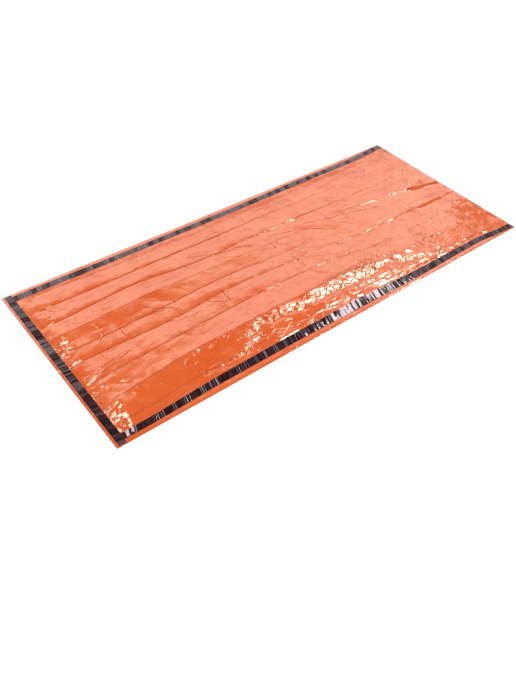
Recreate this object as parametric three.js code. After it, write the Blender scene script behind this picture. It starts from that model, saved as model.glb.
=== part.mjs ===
// An emergency sleeping bag lying flat: two cut lengths of orange metallised film, one on the other.
// Black tape joins them across the foot and along both long sides, and the mouth is open. The upper film
// keeps the lengthwise pleats and the stray creases of its first folding, and falls away to the near side.
// Sizes are in millimetres. +X runs from the foot to the mouth and +Y to the far side, with the ground at
// z = 0.
import * as THREE from "three";

const bagLength = 2130;
const bagWidth = 910;
const filmThickness = 1.2;
const tapeThickness = 1;
const pieceGap = 0.3;

// The lower film shows past the upper one by this much on the long sides and at the foot.
const lowerOverhang = 2;
const footEdge = -bagLength / 2 + lowerOverhang;
const footTapeStart = -1055;
const footTapeEnd = -1025;
const sideTapeStart = footTapeEnd + pieceGap;
const sideTapeEnd = 1061;
const seamUnderside = filmThickness + pieceGap;

// The film climbs from the foot seam over this length.
const footRamp = 75;

// Slow unevenness of the loose film: its height and its wavelengths along and across the bag.
const swell = { height: 1.1, along: 540, across: 330, fadeIn: 5 };

// How finely the sheets are divided: the length of a column, and the rows between two folds.
const columnLength = 37;
const rowsBetweenFolds = 3;

// Lines that run from the foot to the mouth, from the far edge to the near one. At each station along the
// bag a row has the line's place across the bag and the film's rise above the sealed seams. bow is how far
// the film stands above a straight line to the next line, or sags below it where it is negative. It is
// greatest two thirds of the way there.
const stations = [-950, -600, -250, 100, 450, 800, 1063];
const lines = [
  { name: "far_edge", bow: 0,
    across: [451, 450, 449, 450, 451, 451, 453], rise: [0, 0, 0, 0, 0, 0, 0] },
  { name: "far_tape_outer", bow: 0,
    across: [436, 431, 430, 429, 434, 432, 449], rise: [0, 0, 0, 0, 0, 0, 0] },
  { name: "far_tape_inner", bow: 0,
    across: [404, 400, 399, 398, 402, 401, 416], rise: [1, 1, 1, 1, 1, 1, 1] },
  { name: "far_hollow", bow: 1.8,
    across: [382, 368, 361, 356, 352, 352, 354], rise: [6, 7, 6, 7, 8, 7, 6] },
  { name: "far_pleat", bow: 2.2,
    across: [289, 289, 286, 283, 276, 270, 268], rise: [7, 7, 8, 9, 10, 9, 7] },
  { name: "second_pleat", bow: 0.8,
    across: [194, 212, 183, 184, 173, 165, 163], rise: [9, 9, 10, 11, 12, 11, 8] },
  { name: "high_ridge", bow: 0,
    across: [112, 119, 107, 97, 86, 57, 14], rise: [14, 17, 16, 15, 15, 13, 9] },
  { name: "middle_pleat", bow: 1.5,
    across: [19, 25, 33, 10, -7, -20, -36], rise: [8, 11, 12, 13, 12, 10, 7] },
  { name: "near_pleat", bow: 1,
    across: [-46, -54, -37, -60, -83, -87, -96], rise: [7, 9, 13, 13, 12, 10, 8] },
  { name: "low_ridge", bow: -1,
    across: [-159, -147, -136, -141, -191, -190, -188], rise: [12, 14, 15, 16, 16, 13, 9] },
  { name: "near_ridge", bow: 0,
    across: [-272, -246, -245, -250, -281, -286, -304], rise: [15, 19, 21, 20, 17, 14, 9] },
  { name: "near_hollow", bow: 0,
    across: [-371, -353, -358, -366, -374, -378, -390], rise: [5, 6, 7, 8, 8, 7, 6] },
  { name: "near_tape_inner", bow: 0,
    across: [-409, -395, -391, -393, -403, -404, -422], rise: [2, 3, 4, 6, 3, 1, 1] },
  { name: "near_tape_outer", bow: 0,
    across: [-437, -428, -427, -433, -437, -432, -449], rise: [0, 0, 0, 0, 0, 0, 0] },
  { name: "near_edge", bow: 0,
    across: [-453, -453, -452, -453, -453, -452, -453], rise: [0, 0, 0, 0, 0, 0, 0] },
];

// Stray creases that cross the pleats: soft troughs, or ridges where the depth is below zero. The two
// standing folds at the mouth are lengths of a pleat that are pinched up.
const creases = [
  { name: "foot_corner", from: [-1000, 335], to: [-925, 262], depth: 2, width: 26 },
  { name: "foot_fan", from: [-1005, -205], to: [-880, -340], depth: 3, width: 34 },
  { name: "foot_panel", from: [-600, 100], to: [-510, 30], depth: 2, width: 24 },
  { name: "foot_cross", from: [-780, 60], to: [-775, -150], depth: 1.5, width: 26 },
  { name: "long_diagonal", from: [-310, 232], to: [-50, 160], depth: 2.5, width: 24 },
  { name: "long_diagonal_end", from: [-50, 160], to: [210, 105], depth: 1.5, width: 28 },
  { name: "middle_diagonal", from: [210, 105], to: [345, 10], depth: 2, width: 26 },
  { name: "middle_cross", from: [40, 260], to: [55, -210], depth: 1.2, width: 30 },
  { name: "foot_fan_ridge", from: [-960, -290], to: [-880, -350], depth: -2.5, width: 26 },
  { name: "mouth_diagonal", from: [300, 125], to: [640, 22], depth: 1, width: 28 },
  { name: "mouth_cross", from: [590, -180], to: [600, -340], depth: 2, width: 28 },
  { name: "mouth_corner", from: [1080, -215], to: [1080, -450], depth: 2.5, width: 90 },
  { name: "standing_fold", from: [865, 50], to: [1040, 19], depth: -6, width: 15 },
  { name: "low_standing_fold", from: [790, -86], to: [940, -91], depth: -4, width: 13 },
];

// The upper film's cut edge at the mouth, from the near side to the far one. It has drawn in beside the
// far tape.
const mouthEdge = [
  { across: -455, along: 1063 },
  { across: -415, along: 1061 },
  { across: -350, along: 1052 },
  { across: 0, along: 1048 },
  { across: 250, along: 1049 },
  { across: 345, along: 1050 },
  { across: 378, along: 1048 },
  { across: 412, along: 1061 },
  { across: 455, along: 1063 },
];

// A smooth curve through the values at the given places, which never runs past a value.
function smoothThrough(places, values, at) {
  const last = places.length - 1;
  const slopes = places.slice(1).map((place, k) => (values[k + 1] - values[k]) / (place - places[k]));
  const tangent = (k) => {
    if (k === 0 || k === last || slopes[k - 1] * slopes[k] <= 0) return 0;
    return (2 * slopes[k - 1] * slopes[k]) / (slopes[k - 1] + slopes[k]);
  };
  if (at <= places[0]) return values[0];
  if (at >= places[last]) return values[last];
  const k = places.findIndex((place) => place > at) - 1;
  const step = places[k + 1] - places[k];
  const t = (at - places[k]) / step;
  const start = values[k] * (1 + 2 * t) + tangent(k) * step * t;
  const end = values[k + 1] * (3 - 2 * t) - tangent(k + 1) * step * (1 - t);
  return start * (1 - t) ** 2 + end * t ** 2;
}

// How far the stray creases lower the film at a place.
function creaseDepth(x, y) {
  const place = new THREE.Vector3(x, y, 0);
  const nearest = new THREE.Vector3();
  return creases.reduce((depth, crease) => {
    const ends = [crease.from, crease.to].map((end) => new THREE.Vector3(...end, 0));
    new THREE.Line3(...ends).closestPointToPoint(place, true, nearest);
    return depth + crease.depth * Math.exp(-((place.distanceTo(nearest) / crease.width) ** 2));
  }, 0);
}

// The greatest value of share squared times (1 - share), which shapes the bow.
const bowShape = 4 / 27;

// A place on the upper film's underside: x along the bag, the line it follows and the share of the way to
// the next line.
function filmUnderside(x, line, share) {
  const here = lines[line];
  const next = lines[Math.min(line + 1, lines.length - 1)];
  const between = (key) =>
    THREE.MathUtils.lerp(smoothThrough(stations, here[key], x), smoothThrough(stations, next[key], x), share);
  const y = between("across");
  const climbed = THREE.MathUtils.clamp((x - footTapeEnd) / footRamp, 0, 1);
  const ramp = Math.sin((Math.PI / 2) * climbed);
  const pleated = between("rise") + (here.bow * share ** 2 * (1 - share)) / bowShape;
  const waveAlong = Math.sin((2 * Math.PI * x) / swell.along);
  const wave = swell.height * waveAlong * Math.cos((2 * Math.PI * y) / swell.across);
  const loose = Math.min(1, pleated / swell.fadeIn);
  const rise = Math.max(0, ramp * (pleated + loose * (wave - creaseDepth(x, y))));
  return new THREE.Vector3(x, y, seamUnderside + rise);
}

// A closed sheet over a grid of places on its underside. Columns run along +X, and rows run from the far
// side to the near one.
function sheetSolid(grid, thickness) {
  const columns = grid.length;
  const rows = grid[0].length;
  const lower = grid.flat();
  const upper = lower.map((place) => place.clone().setZ(place.z + thickness));
  const at = (column, row, layer) => layer * columns * rows + column * rows + row;
  const triangles = [];
  const quad = (a, b, c, d) => triangles.push(a, b, c, a, c, d);
  for (let i = 0; i < columns - 1; i++) {
    for (let j = 0; j < rows - 1; j++) {
      quad(at(i, j, 1), at(i, j + 1, 1), at(i + 1, j + 1, 1), at(i + 1, j, 1));
      quad(at(i, j, 0), at(i + 1, j, 0), at(i + 1, j + 1, 0), at(i, j + 1, 0));
    }
    quad(at(i, 0, 0), at(i, 0, 1), at(i + 1, 0, 1), at(i + 1, 0, 0));
    quad(at(i, rows - 1, 0), at(i + 1, rows - 1, 0), at(i + 1, rows - 1, 1), at(i, rows - 1, 1));
  }
  for (let j = 0; j < rows - 1; j++) {
    quad(at(0, j, 0), at(0, j + 1, 0), at(0, j + 1, 1), at(0, j, 1));
    quad(at(columns - 1, j, 0), at(columns - 1, j, 1), at(columns - 1, j + 1, 1), at(columns - 1, j + 1, 0));
  }
  const geometry = new THREE.BufferGeometry().setFromPoints([...lower, ...upper]);
  geometry.setIndex(triangles);
  geometry.computeVertexNormals();
  return geometry;
}

function evenly(from, to, pitch) {
  const steps = Math.round((to - from) / pitch);
  return Array.from({ length: steps + 1 }, (_, k) => from + ((to - from) * k) / steps);
}

// The columns that the sheets share, from the foot to the mouth, with the foot tape's two edges among them.
const rampEnd = footTapeEnd + footRamp;
const looseColumns = [footTapeEnd + footRamp / 3, ...evenly(rampEnd, bagLength / 2, columnLength)];
const filmColumns = [footEdge, footTapeStart, footTapeEnd, ...looseColumns];

// The rows that the sheets share: each line, and the rows between two folds of the loose film.
const lineNumber = (name) => lines.findIndex((line) => line.name === name);
const loose = { first: lineNumber("far_tape_inner"), last: lineNumber("near_tape_inner") };
const filmRows = lines.flatMap((_, line) => {
  const count = line >= loose.first && line < loose.last ? rowsBetweenFolds : 1;
  return Array.from({ length: count }, (_, k) => ({ line, share: k / count }));
});

function upperFilm() {
  const across = mouthEdge.map((point) => point.across);
  const along = mouthEdge.map((point) => point.along);
  const mouth = bagLength / 2;
  const grid = filmColumns.map((x) =>
    filmRows.map(({ line, share }) => {
      const place = filmUnderside(x, line, share);
      return x < mouth ? place : place.setX(smoothThrough(across, along, place.y));
    }),
  );
  return sheetSolid(grid, filmThickness);
}

function lowerFilm() {
  const edges = [
    { line: lineNumber("far_edge"), overhang: lowerOverhang },
    { line: lineNumber("near_edge"), overhang: -lowerOverhang },
  ];
  const columns = evenly(-bagLength / 2, bagLength / 2, 4 * columnLength);
  const grid = columns.map((x) =>
    edges.map(({ line, overhang }) => {
      const place = filmUnderside(x, line, 0);
      return new THREE.Vector3(x, place.y + overhang, 0);
    }),
  );
  return sheetSolid(grid, filmThickness);
}

// Tape lies on the upper film, a little above it.
const onFilm = (place) => place.setZ(place.z + filmThickness + pieceGap);

function footTape() {
  const grid = [footTapeStart, footTapeEnd].map((x) =>
    filmRows.map(({ line, share }) => onFilm(filmUnderside(x, line, share))),
  );
  return sheetSolid(grid, tapeThickness);
}

function sideTape(outerOrInner) {
  const columns = [sideTapeStart, ...looseColumns.filter((x) => x < sideTapeEnd), sideTapeEnd];
  const grid = columns.map((x) => outerOrInner.map((name) => onFilm(filmUnderside(x, lineNumber(name), 0))));
  return sheetSolid(grid, tapeThickness);
}

const film = { color: 0xf0652c, roughness: 0.3, metalness: 0.25 };
const filmInside = { color: 0xe8602a, roughness: 0.32, metalness: 0.25 };
const tape = { color: 0x17151a, roughness: 0.28, metalness: 0 };

const bag = new THREE.Group();
function addPiece(name, geometry, finish) {
  const piece = new THREE.Mesh(geometry, new THREE.MeshStandardMaterial(finish));
  piece.name = name;
  bag.add(piece);
}

addPiece("bottom_panel", lowerFilm(), filmInside);
addPiece("top_panel", upperFilm(), film);
addPiece("foot_tape", footTape(), tape);
addPiece("side_tape_far", sideTape(["far_tape_outer", "far_tape_inner"]), tape);
addPiece("side_tape_near", sideTape(["near_tape_inner", "near_tape_outer"]), tape);

export default bag;
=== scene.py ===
# %% [markdown]
# # An emergency sleeping bag, laid out flat
# The bag is two cut lengths of thin orange film, metallised on the inside, taped together in black along
# the foot and both long sides. It was packed small, so the film keeps pleats that run from the foot to the
# mouth and a mass of small creases. Film has no weave: what makes it look like film is how sharply its
# gloss breaks at every crease, so most of this lesson is about the shape of the surface and about lights
# that the shape can catch.

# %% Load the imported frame
import collections
import functools
import math

import bmesh
import bpy
import numpy as np
from mathutils import Matrix, Vector


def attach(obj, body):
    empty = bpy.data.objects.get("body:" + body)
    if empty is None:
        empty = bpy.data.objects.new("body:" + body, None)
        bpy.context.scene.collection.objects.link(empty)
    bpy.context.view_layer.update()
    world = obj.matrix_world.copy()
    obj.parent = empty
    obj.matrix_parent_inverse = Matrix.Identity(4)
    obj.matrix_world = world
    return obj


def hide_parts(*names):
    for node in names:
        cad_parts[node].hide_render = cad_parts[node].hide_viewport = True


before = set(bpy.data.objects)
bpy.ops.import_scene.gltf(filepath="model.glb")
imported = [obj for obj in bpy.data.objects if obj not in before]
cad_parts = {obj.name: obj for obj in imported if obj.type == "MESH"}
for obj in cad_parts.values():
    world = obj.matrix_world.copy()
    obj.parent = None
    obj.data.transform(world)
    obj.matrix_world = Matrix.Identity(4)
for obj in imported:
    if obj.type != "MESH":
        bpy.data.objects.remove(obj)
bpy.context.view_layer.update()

# %% [markdown]
# ## The camera
# The bag is seen from near its foot and from above. It is a known rectangle, so its four corners settle
# where the camera is: 1.88 m above the ground, looking 46 degrees down. The camera's axes are worked out
# from these angles and set as one matrix, because a roll is hard to add to a camera that only tracks a
# target.

# %% Set the camera
CAMERA_PLACE = Vector((-1.5858, -1.7448, 1.8751))
CAMERA_AZIMUTH = math.radians(-40.58)
CAMERA_ELEVATION = math.radians(45.56)
CAMERA_ROLL = math.radians(3.27)
PHOTO_HEIGHT_PX = 688
FOCAL_LENGTH_PX = 687.0
SENSOR_MM = 36.0

back = Vector((
    math.sin(CAMERA_AZIMUTH) * math.cos(CAMERA_ELEVATION),
    -math.cos(CAMERA_AZIMUTH) * math.cos(CAMERA_ELEVATION),
    math.sin(CAMERA_ELEVATION),
))
level = Vector((0, 0, 1)).cross(back).normalized()
upright = back.cross(level)
right = level * math.cos(CAMERA_ROLL) + upright * math.sin(CAMERA_ROLL)
up = back.cross(right)

scene = bpy.context.scene
camera = bpy.data.objects.new("camera", bpy.data.cameras.new("camera"))
scene.collection.objects.link(camera)
scene.camera = camera
camera.data.sensor_width = SENSOR_MM
camera.data.lens = SENSOR_MM * FOCAL_LENGTH_PX / PHOTO_HEIGHT_PX
camera.matrix_world = Matrix.Translation(CAMERA_PLACE) @ Matrix((right, up, back)).transposed().to_4x4()
print("lens", round(camera.data.lens, 2), "mm, camera at", tuple(CAMERA_PLACE))

# %% [markdown]
# ## The bag's sizes
# All the shapes below are worked out in millimetres, as the bag is cut, and turned into metres when a mesh
# is made. The film and the tape are far thinner in life than a renderer likes, so they get a third of a
# millimetre. At the seams the upper film's top lies 2.1 mm above the ground, and the tapes lie just clear
# of it.

# %% Name the sizes
MM = 0.001
HALF_LENGTH = 1065.0
LOWER_OVERHANG = 2.0
FOOT_EDGE = -HALF_LENGTH + LOWER_OVERHANG
FOOT_TAPE = (-1055.0, -1025.0)
SIDE_TAPE_ENDS = (FOOT_TAPE[1] + 0.5, 1061.0)
FOOT_RAMP = 75.0
FILM_THICKNESS = 0.35
TAPE_THICKNESS = 0.35
SEAM_TOP = 2.1
TAPE_LIFT = 0.25
MARGIN_DROOP = 0.5
print("the bag is", 2 * HALF_LENGTH, "mm long, and its side tapes end at", SIDE_TAPE_ENDS)

# %% [markdown]
# ## The pleats
# A factory folds the bag like an accordion before it rolls it up, and the folds never come out. Each row
# of the table below is one line that runs the whole length of the bag, with its place across the bag and
# the film's rise above the seams at seven stations. The bow is how far the film stands above a straight
# line to the next line, or sags below it. The groove says how sharply the old fold still cuts in: at 1 it
# is a narrow trough 0.3 mm deep. Last, the rows are the rows of faces as far as the next line.

# %% Write the table of lines
STATIONS = [-950, -600, -250, 100, 450, 800, 1063]
FLAT = [0, 0, 0, 0, 0, 0, 0]
LINES = [
    dict(name="far_edge", rows=2, bow=0, across=[451, 450, 449, 450, 451, 451, 453],
         rise=FLAT, groove=FLAT),
    dict(name="far_tape_outer", rows=2, bow=0, across=[436, 431, 430, 429, 434, 432, 449],
         rise=FLAT, groove=FLAT),
    dict(name="far_tape_inner", rows=8, bow=0, across=[404, 400, 399, 398, 402, 401, 416],
         rise=[1, 1, 1, 1, 1, 1, 1], groove=FLAT),
    dict(name="far_hollow", rows=12, bow=1.8, across=[382, 368, 361, 356, 352, 352, 354],
         rise=[6, 7, 6, 7, 8, 7, 6], groove=[0.8, 1.0, 0.8, 0.2, 0, 0, 0]),
    dict(name="far_pleat", rows=14, bow=2.2, across=[289, 289, 286, 283, 276, 270, 268],
         rise=[7, 7, 8, 9, 10, 9, 7], groove=[1.0, 1.2, 1.2, 0.5, 0.2, 0.1, 0.1]),
    dict(name="second_pleat", rows=14, bow=0.8, across=[194, 212, 183, 184, 173, 165, 163],
         rise=[9, 9, 10, 11, 12, 11, 8], groove=[1.0, 1.2, 1.0, 0.9, 0.5, 0.2, 0]),
    dict(name="high_ridge", rows=18, bow=0, across=[112, 119, 107, 97, 86, 57, 14],
         rise=[14, 17, 16, 15, 15, 13, 9], groove=[0.9, 0.9, 0.7, 0.5, 0.2, 0, 0]),
    dict(name="middle_pleat", rows=12, bow=1.5, across=[19, 25, 33, 10, -7, -20, -36],
         rise=[8, 11, 12, 13, 12, 10, 7], groove=[1.0, 1.0, 0.9, 0.4, 0, 0, 0]),
    dict(name="near_pleat", rows=16, bow=1, across=[-46, -54, -37, -60, -83, -87, -96],
         rise=[7, 9, 13, 13, 12, 10, 8], groove=[1.0, 1.0, 1.0, 0.8, 0.5, 0.6, 0.5]),
    dict(name="low_ridge", rows=18, bow=-1, across=[-159, -147, -136, -141, -191, -190, -188],
         rise=[12, 14, 15, 16, 16, 13, 9], groove=[0.9, 1.0, 0.9, 0.5, 0.3, 0.3, 0.2]),
    dict(name="near_ridge", rows=27, bow=0, across=[-272, -246, -245, -250, -281, -286, -304],
         rise=[15, 19, 21, 20, 17, 14, 9], groove=[0.9, 0.9, 0.8, 0.8, 0.4, 0.2, 0.1]),
    dict(name="near_hollow", rows=14, bow=0, across=[-371, -353, -358, -366, -374, -378, -390],
         rise=[5, 6, 7, 8, 8, 7, 6], groove=[0.8, 0.6, 0.4, 0.4, 0.3, 0.3, 0.2]),
    dict(name="near_tape_inner", rows=3, bow=0, across=[-409, -395, -391, -393, -403, -404, -422],
         rise=[2, 3, 4, 6, 3, 1, 1], groove=FLAT),
    dict(name="near_tape_outer", rows=4, bow=0.5, across=[-437, -428, -427, -433, -437, -432, -449],
         rise=FLAT, groove=FLAT),
    dict(name="near_edge", rows=1, bow=0, across=[-453, -453, -452, -453, -453, -452, -453],
         rise=FLAT, groove=FLAT),
]
LINE_NUMBER = {line["name"]: number for number, line in enumerate(LINES)}
print(len(LINES), "lines at", len(STATIONS), "stations")

# %% [markdown]
# A line has to pass through its values smoothly, but a plain spline swings past them and would push the
# tape off the film. This curve keeps the slope at zero wherever the values turn, so it never passes a
# value.

# %% Draw a smooth curve through a row
def smooth_through(places, values, at):
    """A smooth curve through the values, which never runs past a value."""
    places, values = np.asarray(places, float), np.asarray(values, float)
    steps = np.diff(places)
    slopes = np.diff(values) / steps
    product, total = slopes[:-1] * slopes[1:], slopes[:-1] + slopes[1:]
    tangents = np.zeros(len(places))
    tangents[1:-1] = np.where(product > 0, 2 * product / np.where(total == 0, 1, total), 0)
    at = np.clip(at, places[0], places[-1])
    k = np.clip(np.searchsorted(places, at, side="right") - 1, 0, len(steps) - 1)
    t = (at - places[k]) / steps[k]
    start = values[k] * (1 + 2 * t) + tangents[k] * steps[k] * t
    end = values[k + 1] * (3 - 2 * t) - tangents[k + 1] * steps[k] * (1 - t)
    return start * (1 - t) ** 2 + end * t ** 2


def of_all_lines(key, along):
    """One column of the table at each place along the bag, with a row for each line."""
    return np.array([smooth_through(STATIONS, line[key], along) for line in LINES])


def smooth_step(low, high, at):
    """0 below low, 1 above high, and smooth between them."""
    t = np.clip((at - low) / (high - low), 0, 1)
    return t * t * (3 - 2 * t)


half_way = of_all_lines("across", [0.0])[LINE_NUMBER["near_ridge"], 0]
print("the near ridge half way along:", round(float(half_way), 1), "mm across")

# %% [markdown]
# ## Stray creases
# Handling leaves creases that cross the pleats. Each is listed as a straight line with a depth and a width:
# a soft trough, or a low ridge where the depth is below zero. Wide ones turn a whole patch away from the
# light and narrow ones draw a line.

# %% List the stray creases
Crease = collections.namedtuple("Crease", "from_x from_y to_x to_y depth width")
CREASES = [Crease(*row) for row in [
    # (from along, from across, to along, to across, depth, width)
    (-1000, 335, -925, 262, 2.0, 26),
    (-1005, -205, -880, -340, 3.0, 34),
    (-600, 100, -510, 30, 2.0, 24),
    (-780, 60, -775, -150, 1.5, 26),
    (-310, 232, -50, 160, 2.5, 24),
    (-50, 160, 210, 105, 1.5, 28),
    (210, 105, 345, 10, 2.0, 26),
    (40, 260, 55, -210, 1.2, 30),
    (300, 125, 640, 22, 1.0, 28),
    (-935, -205, -900, -235, 2.5, 16),
    (-1010, -168, -930, -158, 2.0, 14),
    (-600, -150, -585, -175, 1.5, 10),
    (-470, 172, -400, 170, 0.8, 30),
    (-960, -290, -880, -350, -2.5, 26),
    (590, -180, 600, -340, 2.0, 28),
    (1080, -215, 1080, -450, 2.5, 90),
]]
print(len(CREASES), "stray creases")


# %% Measure how deep the creases cut
def distance_to(x, y, row):
    """How far each place is from the line that a row of a table describes."""
    start, end = np.array([row.from_x, row.from_y], float), np.array([row.to_x, row.to_y], float)
    run = end - start
    share = np.clip(((x - start[0]) * run[0] + (y - start[1]) * run[1]) / (run @ run), 0, 1)
    return np.hypot(x - start[0] - share * run[0], y - start[1] - share * run[1])


def crease_depth(x, y, creases):
    """How far the creases lower the film at each place."""
    return sum(crease.depth * np.exp(-(distance_to(x, y, crease) / crease.width) ** 2) for crease in creases)


# %% [markdown]
# Where the film is pinched along a pleat it stands up as a ridge a few millimetres high. Its near side is
# steep enough to mirror the glint lamp, which draws a broken pale line along the pleat. The two highest, at
# the mouth, are folds that stand up and turn away from the bright lamps, so they show the film's own colour.

# %% List the pinched ridges
Ridge = collections.namedtuple("Ridge", "line start end height near_side")
RIDGES = [Ridge(*row) for row in [
    # (line, from along, to along, height, width of its near side)
    ("second_pleat", 50, 250, 2.8, 7),
    ("high_ridge", 555, 680, 2.3, 8),
    ("high_ridge", 735, 870, 2.2, 8),
    ("high_ridge", 850, 1060, 9.0, 16),
    ("middle_pleat", -120, -50, 2.5, 7),
    ("near_pleat", 25, 85, 2.5, 7),
    ("near_pleat", 275, 365, 2.7, 8),
    ("near_pleat", 395, 645, 3.0, 9),
    ("near_pleat", 780, 950, 7.5, 13),
    ("low_ridge", -200, -90, 2.5, 7),
    ("low_ridge", 80, 190, 2.4, 7),
    ("low_ridge", 735, 785, 1.9, 6),
]]
STANDING_HEIGHT = 5.0
RIDGE_FAR_SIDE = 2.5
RIDGE_FADE = 15.0


def ridge_height(x, y, across, ridges):
    """How far the pinched ridges stand above the film at each place."""
    total = np.zeros_like(x)
    for line, start, end, height, near_side in ridges:
        beyond = y - across[LINE_NUMBER[line]]
        profile = 1 - np.maximum(beyond / RIDGE_FAR_SIDE, -beyond / near_side)
        ends = smooth_step(start, start + RIDGE_FADE, x) * smooth_step(-end, RIDGE_FADE - end, -x)
        total = total + height * np.clip(profile, 0, 1) * ends
    return total


standing = sum(ridge.height > STANDING_HEIGHT for ridge in RIDGES)
print(len(RIDGES), "ridges,", standing, "of them standing folds")

# %% [markdown]
# ## Crushed film
# Crushed film breaks into small flat facets, each tilted its own way. Blender's textures could fake that
# with bump, but the glints on this bag are centimetres across, so the facets are real geometry. The first
# function below gives random heights to the corners of a lattice of triangles and keeps each triangle
# flat. In the second, two coarser lattices push the first one about, so that no two facets have the same
# outline.

# %% Make facets
TABLE_SIZE = 256
COARSER = 2.3
PUSH = 0.8
LATTICE_TURNS = (0.2, 0.4, 1.1)


def lattice(x, y, size, seed, turn):
    """Heights from -1 to 1 over flat triangles of one size."""
    table = np.random.default_rng(seed).uniform(-1, 1, (TABLE_SIZE, TABLE_SIZE))
    u = (x * math.cos(turn) + y * math.sin(turn)) / size
    v = (y * math.cos(turn) - x * math.sin(turn)) / size
    skew = (u + v) * (math.sqrt(3) - 1) / 2
    u, v = u + skew, v + skew
    i, j = np.floor(u).astype(int), np.floor(v).astype(int)
    a, b = u - i, v - j

    def corner(further, higher):
        return table[(i + further) % TABLE_SIZE, (j + higher) % TABLE_SIZE]

    lower = (1 - a) * corner(0, 0) + (a - b) * corner(1, 0) + b * corner(1, 1)
    upper = (1 - b) * corner(0, 0) + (b - a) * corner(0, 1) + a * corner(1, 1)
    return np.where(a > b, lower, upper)


def facets(x, y, size, seed, turn, stretch):
    """Heights from -1 to 1 over crushed facets, longer than they are wide where stretch is above 1."""
    c, s = math.cos(turn), math.sin(turn)
    u, v = (x * c + y * s) / stretch, y * c - x * s
    push = PUSH * size
    u2 = u + push * lattice(u, v, COARSER * size, seed + 1, LATTICE_TURNS[1])
    v2 = v + push * lattice(u, v, COARSER * size, seed + 2, LATTICE_TURNS[2])
    return lattice(u2, v2, size, seed, LATTICE_TURNS[0])


# %% [markdown]
# ## Where the film is crushed
# Most of the film is only a little uneven. It is crushed in patches: along the near side, beside the foot
# tape, and along a few ridges. Each row is a patch with rounded ends, which runs from one place to another
# along its middle. The height is how far its facets stand up and down, and the lean tips the whole patch
# towards the near side, or away from it where it is below zero. A patch of large facets is dented rather
# than crushed, so it gets no fine crumbs in its finish and doesn't glitter.

# %% List the crushed patches
Patch = collections.namedtuple("Patch", "from_x from_y to_x to_y radius height size lean")
PATCHES = [Patch(*row) for row in [
    # (from along, from across, to along, to across, radius, height, facet size, lean)
    (-440, -345, -350, -330, 12, 0.8, 16, 0.12),
    (-390, -300, -300, -262, 20, 1.0, 20, 0.12),
    (-270, -276, -215, -275, 26, 1.0, 20, 0.12),
    (-185, -275, -125, -292, 24, 1.0, 20, 0.12),
    (-60, -280, 25, -285, 30, 1.0, 20, 0.12),
    (65, -285, 290, -283, 38, 1.2, 22, 0.11),
    (290, -232, 350, -245, 15, 0.9, 18, 0.10),
    (380, -262, 450, -270, 9, 0.7, 14, 0.10),
    (300, -290, 400, -300, 14, 0.9, 18, 0.10),
    (455, -335, 490, -340, 20, 1.0, 16, 0.13),
    (510, -350, 575, -365, 14, 0.9, 18, 0.12),
    (300, -388, 585, -393, 8, 0.6, 20, 0.18),
    (-40, -360, 60, -370, 13, 0.8, 18, 0.13),
    (140, -342, 335, -350, 9, 0.8, 18, 0.13),
    (600, -382, 650, -386, 7, 0.8, 18, 0.14),
    (715, -388, 740, -388, 7, 0.8, 18, 0.14),
    (775, -386, 860, -384, 7, 0.8, 18, 0.14),
    (620, -285, 700, -293, 8, 0.8, 18, 0.10),
    (-830, -300, -660, -312, 34, 1.0, 34, -0.03),
    (-620, -300, -470, -296, 30, 0.4, 26, -0.02),
    (-645, -358, -565, -360, 9, 0.8, 16, 0.10),
    (-540, -360, -425, -358, 8, 0.8, 16, 0.10),
    (-1010, 110, -1010, -45, 14, 0.9, 18, 0),
    (-1008, -135, -985, -135, 9, 0.8, 16, 0),
    (-1004, -320, -998, -390, 18, 1.6, 16, 0),
    (-1014, -205, -1014, -330, 9, 0.7, 16, 0),
]]
DENTED_SIZE = 24
EVERYWHERE = [
    dict(height=1.2, size=80, seed=3, turn=0.1, stretch=1.8),
    dict(height=0.6, size=28, seed=7, turn=0.1, stretch=1.4),
]
dented = sum(patch.size >= DENTED_SIZE for patch in PATCHES)
print(len(PATCHES), "crushed patches,", dented, "of them only dented")

# %% Crush the patches
PATCH_FADE = (0.6, 1.5)
FIRST_SEED = 10
SEEDS_A_PATCH = 5
CRUSH_TURN = 0.9
FACET_STRETCH = 2.0
CRUMB_SHARE = 0.3
CRUMB_SIZE = 0.6
CRUMB_STRETCH = 1.6


def inside_patch(x, y, patch):
    """1 in a crushed patch, and 0 outside it."""
    full, gone = (share * patch.radius for share in PATCH_FADE)
    return 1 - smooth_step(full, gone, distance_to(x, y, patch))


def crush_height(x, y):
    """How far crushing lifts or lowers the film: slight facets everywhere, and patches that lean and break
    into small ones."""
    total = sum(
        slight["height"] * facets(x, y, slight["size"], slight["seed"], slight["turn"], slight["stretch"])
        for slight in EVERYWHERE
    )
    for number, patch in enumerate(PATCHES):
        mask = inside_patch(x, y, patch)
        inside = mask > 0
        seed = FIRST_SEED + SEEDS_A_PATCH * number
        crushed = np.zeros_like(x)
        crushed[inside] = facets(x[inside], y[inside], patch.size, seed, CRUSH_TURN, FACET_STRETCH)
        crumbs = facets(x[inside], y[inside], CRUMB_SIZE * patch.size, seed + 2, CRUSH_TURN, CRUMB_STRETCH)
        crushed[inside] += CRUMB_SHARE * crumbs
        ends = sorted([(patch.from_x, patch.from_y), (patch.to_x, patch.to_y)])
        middle = np.interp(x, *zip(*ends))
        total = total + mask * (patch.height * crushed + patch.lean * (y - middle))
    return total


# %% [markdown]
# ## The film's surface
# Everything above comes together here. The film is worked out on a grid whose rows follow the pleat lines,
# so that the folds stay sharp with few faces. A plain square grid would need four times as many to draw a
# fold that runs aslant. Beside the foot tape the film climbs from the seam, and at the mouth its cut edge
# has drawn in and curls a little.

# %% Shape the parts of the surface
FOLD_HALF_WIDTH = 2.2
FOLD_DEPTH = 0.3
BOW_SCALE = 27 / 4
SIDE_FADE = 8
FOOT_FADE = 10


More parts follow.
